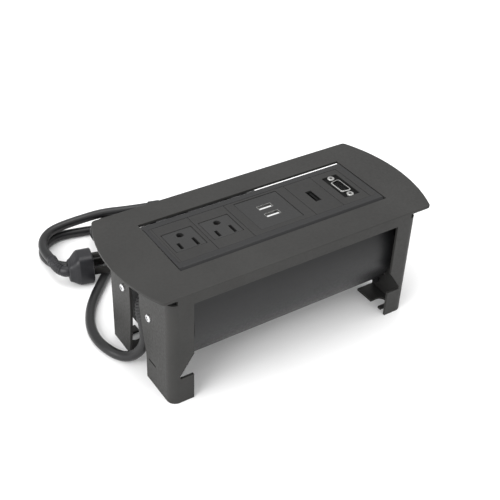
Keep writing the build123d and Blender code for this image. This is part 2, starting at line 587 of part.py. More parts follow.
with BuildPart() as cord_boot:
    x_cylinder(10.2, BEARING_PLATE_X[0] - 3.0, BEARING_PLATE_X[0])
    x_cylinder(8.6, BEARING_PLATE_X[0] - 1.6, BEARING_PLATE_X[0], mode=Mode.SUBTRACT)
    boot_root = (BEARING_PLATE_X[0] - 3.0, AXIS_Y, AXIS_Z)
    with BuildLine():
        FilletPolyline(boot_root, BOOT_CORNER, BOOT_CORNER + CORD_FALL * 9, radius=6.5)
    with BuildSketch(Plane(origin=boot_root, z_dir=(-1, 0, 0))):
        Circle(BOOT_DIAMETER / 2)
    sweep()
    with BuildSketch(Plane(origin=BOOT_CORNER + CORD_FALL * 9, z_dir=CORD_FALL)):
        Circle(BOOT_DIAMETER / 2)
    with BuildSketch(Plane(origin=CORD_START, z_dir=CORD_FALL)):
        Circle(CORD_DIAMETER / 2 + 0.3)
    loft()
save(cord_boot, "cord_boot")

# hank of spare cord: three turns on top of each other, behind the frame's left end
HANK_LEFT = Vector(-97, 149.4, 0)    # middle of the left fold
HANK_TURN = -14.0                    # heading of the long runs, in degrees from +X
HANK_RUN = 160.0
HANK_WIDTH = 56.0
HANK_HOLLOW = 32.0
HANK_HEIGHT = 23.2
HANK_LOW_HEIGHT = 15.6               # two layers only, at the left end
HANK_LOW_RUN = 40.0
TIE_WIDTH = 10.0
TIE_SHEET = 0.8
along_hank = Vector(1, 0, 0).rotate(Axis.Z, HANK_TURN)
hank_plane = Plane(origin=HANK_LEFT + along_hank * (HANK_RUN / 2), x_dir=along_hank, z_dir=(0, 0, 1))
tie_plane = Plane(origin=hank_plane.origin, x_dir=(0, 0, 1), z_dir=along_hank)

with BuildPart() as hank_tie:
    with BuildSketch(tie_plane.offset(-TIE_WIDTH / 2)):
        with Locations((HANK_HEIGHT / 2, 0)):
            RectangleRounded(HANK_HEIGHT, HANK_WIDTH, 4.0)
            RectangleRounded(HANK_HEIGHT - 2 * TIE_SHEET, HANK_WIDTH - 2 * TIE_SHEET, 3.2,
                             mode=Mode.SUBTRACT)
    extrude(amount=TIE_WIDTH)
save(hank_tie, "hank_tie")

with BuildPart() as cord_hank:
    with BuildSketch(hank_plane):
        SlotCenterToCenter(HANK_RUN, HANK_WIDTH)
        SlotCenterToCenter(HANK_RUN, HANK_HOLLOW, mode=Mode.SUBTRACT)
    extrude(amount=HANK_HEIGHT)
    with BuildSketch(hank_plane.offset(HANK_LOW_HEIGHT)):
        with Locations((HANK_LOW_RUN - HANK_RUN / 2, 0)):
            Rectangle(HANK_LOW_RUN + HANK_WIDTH, HANK_WIDTH + 2, align=(Align.MAX, Align.CENTER))
    extrude(amount=HANK_HEIGHT, mode=Mode.SUBTRACT)
    with BuildSketch(tie_plane.offset(-TIE_WIDTH / 2)):
        with Locations((HANK_HEIGHT / 2, 0)):
            Rectangle(HANK_HEIGHT + 2, HANK_WIDTH + 2)
            RectangleRounded(HANK_HEIGHT - 2 * TIE_SHEET, HANK_WIDTH - 2 * TIE_SHEET, 3.2,
                             mode=Mode.SUBTRACT)
    extrude(amount=TIE_WIDTH, mode=Mode.SUBTRACT)
save(cord_hank, "cord_hank")

# the cord hangs out of the boot, loops over the floor and runs into the hank
CORD_ROUTE = [tuple(CORD_START), (-107.0, -8.3, 32.7), (-108.6, -8.8, 23.1), (-111.5, -5.8, 14.3),
              (-115.5, -1.6, 8.3), (-120.5, 5.6, 4.2), (-126.0, 17, 4), (-128.8, 33, 4),
              (-126.0, 50, 4), (-118.0, 67, 4), (-107.5, 81, 4), (-96.0, 93.2, 4), (-86.0, 104.0, 4),
              (-73.0, 113.0, 4), (-62.0, 121.0, 4)]


def tangent_radii(route):
    """Largest arc at each corner that leaves a tenth of the shorter run straight."""
    points = [Vector(*point) for point in route]
    radii = []
    for before, corner, after in zip(points, points[1:], points[2:]):
        shorter = min((corner - before).length, (after - corner).length)
        half_turn = radians((corner - before).get_angle(after - corner)) / 2
        radii.append(0.45 * shorter / tan(half_turn))
    return radii


CORD_RADII = tangent_radii(CORD_ROUTE)
with BuildPart() as power_cord:
    with BuildLine() as cord_line:
        FilletPolyline(*CORD_ROUTE, radius=CORD_RADII)
    with BuildSketch(Plane(origin=CORD_START, z_dir=CORD_FALL)):
        Circle(CORD_DIAMETER / 2)
    sweep()
    sweep_volume = power_cord.part.volume
    with BuildSketch(hank_plane):
        SlotCenterToCenter(HANK_RUN, HANK_WIDTH)
    extrude(amount=HANK_HEIGHT, mode=Mode.SUBTRACT)
save(power_cord, "power_cord")
cord_length = sum(edge.length for edge in cord_line.edges())
print("cord radii", [round(radius, 1) for radius in CORD_RADII])
print("cord length", round(cord_length, 1), "volume / section x length",
      round(sweep_volume / (cord_length * pi * CORD_DIAMETER**2 / 4), 4))

# ---------------------------------------------------------------- mains plug
PLUG_HEADING = Vector(0.974, -0.225, 0).normalized()
PLUG_REAR = Vector(-115.5, 112.9, 0)   # middle of the rear face, on the floor
PLUG_SIZE = (20.0, 22.0, 27.6)         # length, width, height
PLUG_AXIS_Z = 12.0                     # height of the cord at the plug
PIN_SPACING = 12.7                     # between the two blades
PIN_RISE = 11.9                        # from the blades up to the ground pin
BLADE_Z = 11.75
plug_plane = Plane(origin=PLUG_REAR, x_dir=PLUG_HEADING, z_dir=(0, 0, 1))
relief_root = PLUG_REAR + Vector(0, 0, PLUG_AXIS_Z)
relief_corner = relief_root - PLUG_HEADING * 8
relief_end = Vector(-121.0, 135.5, PLUG_AXIS_Z)

with BuildPart() as mains_plug:
    with BuildSketch(plug_plane):
        with Locations((PLUG_SIZE[0] / 2, 0)):
            RectangleRounded(PLUG_SIZE[0], PLUG_SIZE[1], 2.0)
    extrude(amount=PLUG_SIZE[2])
    fillet(edges().group_by(Axis.Z)[-1], 1.2)
    with BuildLine():
        FilletPolyline(relief_root + PLUG_HEADING, relief_corner, relief_end, radius=6.5)
    with BuildSketch(Plane(origin=relief_root + PLUG_HEADING, z_dir=-PLUG_HEADING)):
        Circle(BOOT_DIAMETER / 2)
    sweep()
    with BuildSketch(hank_plane):
        SlotCenterToCenter(HANK_RUN, HANK_WIDTH)
    extrude(amount=HANK_HEIGHT, mode=Mode.SUBTRACT)
save(mains_plug, "mains_plug")

pin_plane = Plane(origin=PLUG_REAR + PLUG_HEADING * PLUG_SIZE[0], x_dir=(0, 0, 1), z_dir=PLUG_HEADING)

with BuildPart() as plug_blades:
    with BuildSketch(pin_plane):
        with Locations((BLADE_Z, PIN_SPACING / 2), (BLADE_Z, -PIN_SPACING / 2)):
            Rectangle(6.3, 1.5)
    extrude(amount=16.0)
    chamfer(edges().filter_by(lambda e: abs(e.length - 6.3) < 0.01).group_by(Axis.X)[-1], 0.4)
save(plug_blades, "plug_blades")

with BuildPart() as plug_ground_pin:
    with BuildSketch(pin_plane):
        with Locations((BLADE_Z + PIN_RISE, 0)):
            Circle(2.4)
    extrude(amount=18.0)
    fillet(edges().filter_by(GeomType.CIRCLE).group_by(Axis.X)[-1], 1.6)
save(plug_ground_pin, "plug_ground_pin")
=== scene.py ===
# %% [markdown]
# # A desk power strip that turns over
# A bent steel frame hangs in a desk cut-out and a plastic drum turns in it: sockets up for work,
# a blank cover up when the desk is tidy. The metal and plastic parts come from the CAD model with
# their sizes settled. This lesson loads them as a fixed frame, gives every part its finish, and
# models the soft pieces that CAD only blocks out: the mains cord, its boot, the strap and the plug.

# %% Load the frame
import json
import math

import bpy
import numpy as np
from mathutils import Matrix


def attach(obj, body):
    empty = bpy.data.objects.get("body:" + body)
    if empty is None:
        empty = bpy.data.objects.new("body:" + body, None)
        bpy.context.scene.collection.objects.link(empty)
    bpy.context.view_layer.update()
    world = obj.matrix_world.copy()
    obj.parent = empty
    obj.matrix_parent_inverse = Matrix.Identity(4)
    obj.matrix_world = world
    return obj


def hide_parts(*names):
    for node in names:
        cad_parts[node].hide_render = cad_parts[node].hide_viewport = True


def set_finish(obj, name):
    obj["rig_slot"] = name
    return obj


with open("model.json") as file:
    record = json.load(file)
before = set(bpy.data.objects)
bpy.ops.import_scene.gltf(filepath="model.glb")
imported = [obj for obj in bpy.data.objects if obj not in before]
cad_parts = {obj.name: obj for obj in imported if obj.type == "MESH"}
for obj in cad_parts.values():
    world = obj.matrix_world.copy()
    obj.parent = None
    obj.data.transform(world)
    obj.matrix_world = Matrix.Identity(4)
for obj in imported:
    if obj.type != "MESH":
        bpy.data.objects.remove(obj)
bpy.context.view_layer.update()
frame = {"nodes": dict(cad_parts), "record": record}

nodes = frame["nodes"]

# %% [markdown]
# ## Camera
# The part is looked at from its left front corner and from above, as when it lies on a table. A
# camera could be aimed with a Track To constraint, but a plain rotation matrix says exactly where
# its right, up and back directions point, and lets it lean a little to one side.

# %% Camera
CAMERA_PLACE = (-0.3336, -0.4678, 0.4858)
CAMERA_AZIMUTH = -34.5
CAMERA_ELEVATION = 36.41
CAMERA_ROLL = 2.52
CAMERA_LENS = 66.7


def camera_matrix(place, azimuth, elevation, roll):
    """Columns are right, up and back; back comes from the two angles, right is level, then both roll."""
    a, e, r = (math.radians(angle) for angle in (azimuth, elevation, roll))
    back = np.array([math.sin(a) * math.cos(e), -math.cos(a) * math.cos(e), math.sin(e)])
    level = np.cross((0, 0, 1), back)
    level /= np.linalg.norm(level)
    upright = np.cross(back, level)
    matrix = np.eye(4)
    matrix[:3, 0] = math.cos(r) * level + math.sin(r) * upright
    matrix[:3, 1] = -math.sin(r) * level + math.cos(r) * upright
    matrix[:3, 2] = back
    matrix[:3, 3] = place
    return matrix


camera = bpy.data.objects.new("camera", bpy.data.cameras.new("camera"))
bpy.context.scene.collection.objects.link(camera)
camera.matrix_world = camera_matrix(CAMERA_PLACE, CAMERA_AZIMUTH, CAMERA_ELEVATION, CAMERA_ROLL).T
camera.data.lens = CAMERA_LENS
bpy.context.scene.camera = camera
print("camera at", CAMERA_PLACE, "lens", CAMERA_LENS, "mm")

# %% [markdown]
# ## Mains cord
# The cord is a fixed length of round rubber flex. It hangs out of the boot, touches down beside
# the left legs, loops round to the back and runs into a hank of three turns. Modelling it as a
# chain of short cylinders would show every joint, so it is one NURBS curve with a round bevel:
# its control points pull the line towards them without kinks, as a stiff flex bends.

# %% Route over the floor
CORD_DIAMETER = 0.008
CORD_EXIT = (-0.107, -0.00454, 0.04157)
FLOOR_ROUTE = [CORD_EXIT, (-0.107, -0.0083, 0.0327), (-0.1086, -0.0088, 0.0231), (-0.1115, -0.0058, 0.0143),
               (-0.1155, -0.0016, 0.0083), (-0.1205, 0.0056, 0.0042), (-0.126, 0.017, 0.004),
               (-0.1288, 0.033, 0.004), (-0.126, 0.050, 0.004), (-0.118, 0.067, 0.004),
               (-0.1075, 0.081, 0.004), (-0.096, 0.0932, 0.004), (-0.086, 0.104, 0.004),
               (-0.073, 0.113, 0.004)]
print("floor route", len(FLOOR_ROUTE), "points")

# %% [markdown]
# ## The hank's turns
# Each turn is two long runs and two round folds, laid on the turn below. Left ends of loosely
# folded flex never line up, so the middle turn's left fold stops short and the last one swings
# wide and comes down to the plug. Two tables hold the straight stretches, and folds join them.

# %% Turns of the hank
HANK_LEFT = np.array([-0.097, 0.1494, 0.0])
HANK_TURN = math.radians(-14.0)
HANK_RUN = 0.160
FOLD_RADIUS = 0.024
LAYER = 0.0076
FOLD_STEPS = 6
ALONG = np.array([math.cos(HANK_TURN), math.sin(HANK_TURN), 0.0])
ACROSS = np.array([-math.sin(HANK_TURN), math.cos(HANK_TURN), 0.0])
RIGHT_SHIFTS = (0.0, -0.002, -0.004)
LEFT_SHIFTS = (0.0, 0.045)
LOW, MIDDLE, HIGH = (CORD_DIAMETER / 2 + turn * LAYER for turn in range(3))
LEFT_RISES = ((LOW, LOW), (MIDDLE, HIGH))

# (run along the hank, distance from its axis, height) of the straight stretches of each turn
FRONT_RUNS = ([(0.052, -FOLD_RADIUS, LOW), (0.090, -FOLD_RADIUS, LOW), (0.130, -FOLD_RADIUS, LOW)],
              [(0.014, -FOLD_RADIUS, LOW), (0.034, -FOLD_RADIUS, (LOW + MIDDLE) / 2),
               (0.056, -FOLD_RADIUS, MIDDLE), (0.095, -FOLD_RADIUS, MIDDLE), (0.130, -FOLD_RADIUS, MIDDLE)],
              [(0.060, -FOLD_RADIUS, HIGH), (0.095, -FOLD_RADIUS, HIGH), (0.130, -FOLD_RADIUS, HIGH)])
BACK_RUNS = ([(0.128, FOLD_RADIUS, LOW), (0.085, FOLD_RADIUS, LOW), (0.042, FOLD_RADIUS, LOW),
              (0.016, FOLD_RADIUS, LOW)],
             [(0.128, FOLD_RADIUS, MIDDLE), (0.094, FOLD_RADIUS, MIDDLE), (0.062, FOLD_RADIUS, MIDDLE)],
             [(0.128, FOLD_RADIUS, HIGH), (0.090, FOLD_RADIUS, HIGH), (0.056, FOLD_RADIUS, HIGH),
              (0.034, 0.0275, 0.0182), (0.014, 0.0275, 0.0150)])


def hank_point(run, side, height):
    """Point of the hank: run along it from the left fold's middle, side across it, height off the floor."""
    return HANK_LEFT + run * ALONG + side * ACROSS + np.array([0.0, 0.0, height])


def fold(centre_run, start, low, high):
    """Half circle about a middle on the hank's axis; start is -90 or 90 degrees, height goes low to high."""
    reach = FOLD_RADIUS / math.cos(math.pi / FOLD_STEPS / 2)
    way = np.radians(start) + np.pi * (np.arange(FOLD_STEPS) + 0.5) / FOLD_STEPS
    rise = low + (high - low) * (np.arange(FOLD_STEPS) + 0.5) / FOLD_STEPS
    return [hank_point(centre_run + reach * math.cos(w), reach * math.sin(w), h) for w, h in zip(way, rise)]


def hank_route():
    """Control points of all turns: front run, right fold, back run and left fold of each in order."""
    points = []
    for turn, height in enumerate((LOW, MIDDLE, HIGH)):
        points += [hank_point(*place) for place in FRONT_RUNS[turn]]
        points += fold(HANK_RUN + RIGHT_SHIFTS[turn], -90, height, height)
        points += [hank_point(*place) for place in BACK_RUNS[turn]]
        if turn < len(LEFT_SHIFTS):
            points += fold(LEFT_SHIFTS[turn], 90, *LEFT_RISES[turn])
    return points


# the end swings wide of the folds and comes down into the plug's relief
CORD_END = [(-0.0974, 0.1734, 0.0136), (-0.1094, 0.1700, 0.0130), (-0.1180, 0.1612, 0.0125),
            (-0.1214, 0.1510, 0.0122), (-0.1218, 0.1420, 0.0120), (-0.1212, 0.1345, 0.0120),
            (-0.1208, 0.1305, 0.0120)]
cord_points = np.array([*FLOOR_ROUTE, *hank_route(), *CORD_END])
print("hank route", len(cord_points) - len(FLOOR_ROUTE), "points")

# %% [markdown]
# ## Curve and its length
# order_u 3 makes each span a smooth quadratic, and it is set after the points exist, because an
# empty spline falls back to straight spans. The bevel gives the flex its round section.

# %% Build the cord


def nurbs_curve(name, points, radius):
    """Round curve through the pull of its control points: a quadratic NURBS line with a circular bevel."""
    data = bpy.data.curves.new(name, "CURVE")
    data.dimensions = "3D"
    data.resolution_u = 8
    spline = data.splines.new("NURBS")
    spline.points.add(len(points) - 1)
    spline.points.foreach_set("co", np.c_[points, np.ones(len(points))].ravel())
    spline.order_u = 3
    spline.use_endpoint_u = True
    # a curve's box grows by each point's radius, so the size goes on the points and not on the bevel
    spline.points.foreach_set("radius", np.full(len(points), radius))
    data.bevel_depth = 1.0
    data.bevel_resolution = 5
    data.use_fill_caps = True
    made = bpy.data.objects.new(name, data)
    bpy.context.scene.collection.objects.link(made)
    return made


def centreline_length(curve):
    """Sum of the distances between the points of the curve evaluated with no bevel."""
    depth = curve.data.bevel_depth
    curve.data.bevel_depth = 0.0
    evaluated = curve.evaluated_get(bpy.context.evaluated_depsgraph_get())
    mesh = bpy.data.meshes.new_from_object(evaluated)
    place = np.empty(len(mesh.vertices) * 3)
    mesh.vertices.foreach_get("co", place)
    bpy.data.meshes.remove(mesh)
    curve.data.bevel_depth = depth
    steps = np.diff(place.reshape(-1, 3), axis=0)
    return float(np.linalg.norm(steps, axis=1).sum())


power_flex = nurbs_curve("power_flex", cord_points, CORD_DIAMETER / 2)
CORD_LENGTH = round(centreline_length(power_flex), 3)
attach(power_flex, "frame")
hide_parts("power_cord", "cord_hank")
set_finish(power_flex, "cord_rubber")
print("cord length", CORD_LENGTH, "m")

# %% [markdown]
# ## Moulded rubber pieces
# The boot where the cord leaves the bearing, the plug's relief and the strap are all a section
# carried along a bent line. Blender's curve bevel can't thin or rib along the way, so these are
# grids worked out in numpy: one parameter runs along the line and the other round the section.

# %% Grid and sweep helpers


def grid_mesh(name, grids, smooth=True):
    """One object from closed-section grids; a grid is rows x columns x 3, and its columns wrap round."""
    corners, faces, first = [], [], 0
    for grid in grids:
        rows, columns = grid.shape[:2]
        index = first + np.arange(rows * columns).reshape(rows, columns)
        across = np.roll(index, -1, axis=1)
        quads = np.stack([index[:-1], across[:-1], across[1:], index[1:]], axis=-1)
        faces += quads.reshape(-1, 4).tolist()
        faces += [index[0, ::-1].tolist(), index[-1].tolist()]
        corners.append(grid.reshape(-1, 3))
        first += rows * columns
    mesh = bpy.data.meshes.new(name)
    mesh.from_pydata(np.concatenate(corners).tolist(), [], faces)
    mesh.polygons.foreach_set("use_smooth", np.full(len(mesh.polygons), smooth))
    mesh.update()
    made = bpy.data.objects.new(name, mesh)
    bpy.context.scene.collection.objects.link(made)
    return made


def bend_line(start, corner, end, steps):
    """Quadratic bend: (1-t)^2 start + 2t(1-t) corner + t^2 end, with its unit tangents."""
    t = np.linspace(0, 1, steps)[:, None]
    start, corner, end = (np.array(p, float) for p in (start, corner, end))
    line = (1 - t) ** 2 * start + 2 * t * (1 - t) * corner + t**2 * end
    tangent = 2 * (1 - t) * (corner - start) + 2 * t * (end - corner)
    return line, tangent / np.linalg.norm(tangent, axis=1, keepdims=True)


def sweep_round(line, tangent, radius, sides=40):
    """Circle of a radius that changes along the line; the line is flat, so its normal is one direction."""
    flat = np.cross(tangent[0], tangent[-1])
    flat /= np.linalg.norm(flat)
    side = np.cross(tangent, flat)
    angle = np.linspace(0, 2 * np.pi, sides, endpoint=False)[None, :, None]
    ring = np.cos(angle) * side[:, None, :] + np.sin(angle) * flat
    return line[:, None, :] + radius[:, None, None] * ring


def ribbed(steps, root, tip, ribs, depth, first=0.25, last=0.92):
    """Radius that falls from root to tip, with rounded grooves cut in the stretch from first to last."""
    t = np.linspace(0, 1, steps)
    inside = (t > first) & (t < last)
    phase = (t - first) / (last - first) * ribs
    groove = depth * np.sin(np.pi * (phase % 1.0)) ** 6
    return root + (tip - root) * t - np.where(inside, groove, 0.0)


print("helpers ready")

# %% [markdown]
# ## Cord boot
# The boot is a rubber cup pressed over the left bearing with a bent, ribbed sleeve that lets the
# cord down towards the floor. The cup is a lathe shape about the drum's axis.

# %% Boot at the left bearing
AXIS = np.array([0.0, 0.0017, 0.0563])
BOOT_CORNER = (-0.107, AXIS[1], AXIS[2])
CUP_OUTLINE = [(-0.0970, 0.0086), (-0.0970, 0.0102), (-0.0992, 0.0102), (-0.0998, 0.0098),
               (-0.1000, 0.0090), (-0.1000, 0.0052), (-0.1006, 0.0048)]
BOOT_STEPS = 90


def lathe_about_x(outline, sides=64):
    """Outline of (x, radius) pairs turned about the drum's axis."""
    angle = np.linspace(0, 2 * np.pi, sides, endpoint=False)
    x, radius = np.array(outline).T
    ring = np.stack([np.zeros(sides), np.cos(angle), np.sin(angle)], axis=-1)
    return np.stack([x, AXIS[1] + 0 * x, AXIS[2] + 0 * x], axis=-1)[:, None] + radius[:, None, None] * ring


boot_line, boot_tangent = bend_line((-0.0998, AXIS[1], AXIS[2]), BOOT_CORNER, CORD_EXIT, BOOT_STEPS)
boot_radius = ribbed(BOOT_STEPS, 0.0051, 0.0044, 7, 0.0007)
cord_boot = grid_mesh("cord_boot_moulded",
                      [lathe_about_x(CUP_OUTLINE)[::-1], sweep_round(boot_line, boot_tangent, boot_radius)])
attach(cord_boot, "frame")
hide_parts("cord_boot")
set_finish(cord_boot, "boot_rubber")
print("boot", len(cord_boot.data.polygons), "faces")

# %% [markdown]
# ## Mains plug
# The plug is moulded rubber: a soft rectangular body that narrows to a waisted grip at its rear,
# and a bent ribbed relief. A box with bevelled edges has no waist, so the body is a stack of
# superellipse sections whose half width and half height change along it.

# %% Plug body and relief
PLUG_HEADING = np.array([0.974, -0.225, 0.0])
PLUG_HEADING /= np.linalg.norm(PLUG_HEADING)
PLUG_SIDE = np.array([-PLUG_HEADING[1], PLUG_HEADING[0], 0.0])
PLUG_REAR = np.array([-0.1155, 0.1129, 0.0])
PLUG_LENGTH, PLUG_WIDTH, PLUG_HEIGHT = 0.020, 0.022, 0.0276
PLUG_CORD_Z = 0.012
RELIEF_END = (-0.121, 0.1345, PLUG_CORD_Z)
GRIP_SHARE = 0.45                       # part of the body over which the grip widens to full size
GRIP_WIDTH, GRIP_HEIGHT = 0.70, 0.62    # size of the grip's rear over that of the face
RIB_COUNT, RIB_SHARE, RIB_DEPTH = 7, 0.4, 0.022
EDGE_SHARE = 0.05                       # part of the body rounded off at each end
REAR_ROUNDING, FACE_ROUNDING = 0.10, 0.07


def plug_sections(stations=48, sides=72, power=3.6):
    """Superellipse |c|^(2/power) by |s|^(2/power) at each station; size eases from grip to face."""
    t = np.linspace(0, 1, stations)
    widening = np.clip(t / GRIP_SHARE, 0, 1)
    ease = widening**2 * (3 - 2 * widening)
    ribs = RIB_DEPTH * np.sin(np.pi * RIB_COUNT * np.clip(t / RIB_SHARE, 0, 1)) ** 2 * (t < RIB_SHARE)
    rear_edge = np.clip((EDGE_SHARE - t) / EDGE_SHARE, 0, 1) ** 2
    face_edge = np.clip((t - 1 + EDGE_SHARE) / EDGE_SHARE, 0, 1) ** 2
    rounding = 1 - REAR_ROUNDING * rear_edge - FACE_ROUNDING * face_edge
    half_width = PLUG_WIDTH / 2 * (GRIP_WIDTH + (1 - GRIP_WIDTH) * ease - ribs) * rounding
    half_height = PLUG_HEIGHT / 2 * (GRIP_HEIGHT + (1 - GRIP_HEIGHT) * ease - ribs) * rounding
    middle = PLUG_CORD_Z + (PLUG_HEIGHT / 2 - PLUG_CORD_Z) * ease
    angle = np.linspace(0, 2 * np.pi, sides, endpoint=False)
    wide = np.sign(np.cos(angle)) * np.abs(np.cos(angle)) ** (2 / power)
    tall = np.sign(np.sin(angle)) * np.abs(np.sin(angle)) ** (2 / power)
    spine = PLUG_REAR + (t * PLUG_LENGTH)[:, None] * PLUG_HEADING
    grid = spine[:, None] + (half_width[:, None] * wide)[..., None] * PLUG_SIDE
    grid[..., 2] = middle[:, None] + half_height[:, None] * tall
    return grid


relief_root = PLUG_REAR + np.array([0, 0, PLUG_CORD_Z])
relief_corner = relief_root - 0.008 * PLUG_HEADING
relief_start = relief_root + 0.001 * PLUG_HEADING
relief_line, relief_tangent = bend_line(relief_start, relief_corner, RELIEF_END, BOOT_STEPS)
relief_radius = ribbed(BOOT_STEPS, 0.0050, 0.0044, 6, 0.0007, first=0.3)
plug_relief = sweep_round(relief_line, relief_tangent, relief_radius)
plug_body = grid_mesh("plug_moulded", [plug_sections(), plug_relief])
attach(plug_body, "frame")
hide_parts("mains_plug")
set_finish(plug_body, "plug_rubber")
print("plug", len(plug_body.data.polygons), "faces")

# %% [markdown]
# ## Strap round the hank
# A short hook-and-loop strap keeps the turns together. It is a thin flat section carried round a
# rounded rectangle that sags a little between the two stacks of flex.

# %% Hook-and-loop strap
STRAP_WIDTH = 0.010
STRAP_SHEET = 0.0008
STRAP_SAG = 0.004
STRAP_POWER = 0.22        # the lower, the squarer the loop
STRAP_LIFT = 0.0002       # of its underside off the table


def strap_grid(turns=160, edge=0.0035):
    """Superellipse loop round the turns, its top pulled down by a raised cosine, times a flat section."""
    angle = np.linspace(0, 2 * np.pi, turns, endpoint=False)
    half = np.array([FOLD_RADIUS + CORD_DIAMETER / 2, CORD_DIAMETER / 2 + LAYER])
    loops = []
    for grow in (0.0, STRAP_SHEET):
        side = (half[0] + grow) * np.sign(np.cos(angle)) * np.abs(np.cos(angle)) ** STRAP_POWER
        rise = (half[1] + grow) * np.sign(np.sin(angle)) * np.abs(np.sin(angle)) ** STRAP_POWER
        sag = STRAP_SAG * (0.5 + 0.5 * np.cos(np.pi * np.clip(side / (half[0] - 2 * edge), -1, 1)))
        height = np.maximum(half[1] + rise - np.where(rise > 0, sag, 0.0), STRAP_LIFT - grow + STRAP_SHEET)
        loops.append((side, height))
    (inner_side, inner_height), (outer_side, outer_height) = loops
    middle = HANK_RUN / 2
    section = [(-1, inner_side, inner_height), (1, inner_side, inner_height),
               (1, outer_side, outer_height), (-1, outer_side, outer_height)]
    rows = [HANK_LEFT + (middle + way * STRAP_WIDTH / 2) * ALONG + side[:, None] * ACROSS
            + height[:, None] * np.array([0.0, 0.0, 1.0]) for way, side, height in section]
    return np.stack(rows, axis=1)


def closed_band(name, grid):
    """Band whose rows and columns both wrap round, so it has no open end."""
    rows, columns = grid.shape[:2]
    index = np.arange(rows * columns).reshape(rows, columns)
    down, right = np.roll(index, -1, axis=0), np.roll(index, -1, axis=1)
    quads = np.stack([index, down, np.roll(down, -1, axis=1), right], axis=-1).reshape(-1, 4)
    mesh = bpy.data.meshes.new(name)
    mesh.from_pydata(grid.reshape(-1, 3).tolist(), [], quads.tolist())
    mesh.update()
    made = bpy.data.objects.new(name, mesh)
    bpy.context.scene.collection.objects.link(made)
    return made


strap = closed_band("hank_strap", strap_grid())
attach(strap, "frame")
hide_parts("hank_tie")
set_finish(strap, "tie_fabric")
print("strap", len(strap.data.polygons), "faces")

# %% [markdown]
# ## Shared surface effects
# Powder coat, moulded plastic and rubber differ in grain size and in how uneven they are, but the
# way to get there is the same. Two node groups hold it: one bumps the surface with fine grain,
# the other gives a slow and a fine mask for colour and roughness. Both read Object coordinates,
# so the pattern is in real metres and stays on the part when it turns.

# %% Node groups
SLOW_SCALE, FINE_SCALE = 18.0, 500.0


def new_group(name, inputs, outputs):
    """Empty shader node group with float inputs and the outputs named."""
    group = bpy.data.node_groups.new(name, "ShaderNodeTree")
    for label, value in inputs.items():
        socket = group.interface.new_socket(label, in_out="INPUT", socket_type="NodeSocketFloat")
        socket.default_value = value
    for label, kind in outputs.items():
        group.interface.new_socket(label, in_out="OUTPUT", socket_type=kind)
    ends = group.nodes.new("NodeGroupInput"), group.nodes.new("NodeGroupOutput")
    return group, *ends


def grain_group():
    """Normal bumped by a fine noise plus a broader one, in object space."""
    group, ends_in, ends_out = new_group("surface grain", {"Scale": 900.0, "Depth": 0.15, "Wave": 0.1},
                                         {"Normal": "NodeSocketVector"})
    place = group.nodes.new("ShaderNodeTexCoord")
    fine = group.nodes.new("ShaderNodeTexNoise")
    fine.inputs["Detail"].default_value = 3.0
    broad = group.nodes.new("ShaderNodeTexNoise")
    broad.inputs["Scale"].default_value = 60.0
    broad.inputs["Detail"].default_value = 1.0
    low = group.nodes.new("ShaderNodeBump")
    low.inputs["Distance"].default_value = 0.0006
    high = group.nodes.new("ShaderNodeBump")
    high.inputs["Distance"].default_value = 0.0001
    link = group.links.new
    link(place.outputs["Object"], fine.inputs["Vector"])
    link(place.outputs["Object"], broad.inputs["Vector"])
    link(ends_in.outputs["Scale"], fine.inputs["Scale"])
    link(ends_in.outputs["Wave"], low.inputs["Strength"])
    link(ends_in.outputs["Depth"], high.inputs["Strength"])
    link(broad.outputs["Fac"], low.inputs["Height"])
    link(fine.outputs["Fac"], high.inputs["Height"])
    link(low.outputs["Normal"], high.inputs["Normal"])
    link(high.outputs["Normal"], ends_out.inputs["Normal"])
    return group


def mottle_group():
    """Two masks from 0 to 1, Slow from a broad noise and Fine from a sharp one, each at full range."""
    group, ends_in, ends_out = new_group("uneven mask", {"Slow Scale": SLOW_SCALE, "Fine Scale": FINE_SCALE},
                                         {"Slow": "NodeSocketFloat", "Fine": "NodeSocketFloat"})
    place = group.nodes.new("ShaderNodeTexCoord")
    for label, detail in (("Slow", 4.0), ("Fine", 2.0)):
        noise = group.nodes.new("ShaderNodeTexNoise")
        noise.inputs["Detail"].default_value = detail
        spread = group.nodes.new("ShaderNodeMapRange")
        spread.inputs["From Min"].default_value = 0.3
        spread.inputs["From Max"].default_value = 0.7
        group.links.new(place.outputs["Object"], noise.inputs["Vector"])
        group.links.new(ends_in.outputs[f"{label} Scale"], noise.inputs["Scale"])
        group.links.new(noise.outputs["Fac"], spread.inputs["Value"])
        group.links.new(spread.outputs["Result"], ends_out.inputs[label])
    return group


GRAIN = grain_group()
MOTTLE = mottle_group()
print("groups", GRAIN.name, "and", MOTTLE.name)

# %% [markdown]
# ## Finishes
# Every finish is a Principled shader with its own colour, roughness range and grain. The slow mask
# shifts the colour by a few per cent, as real mouldings and coatings do, and the fine one breaks
# up the gloss. One function builds them all, and the table names what each is on the strip.

# %% Finish function


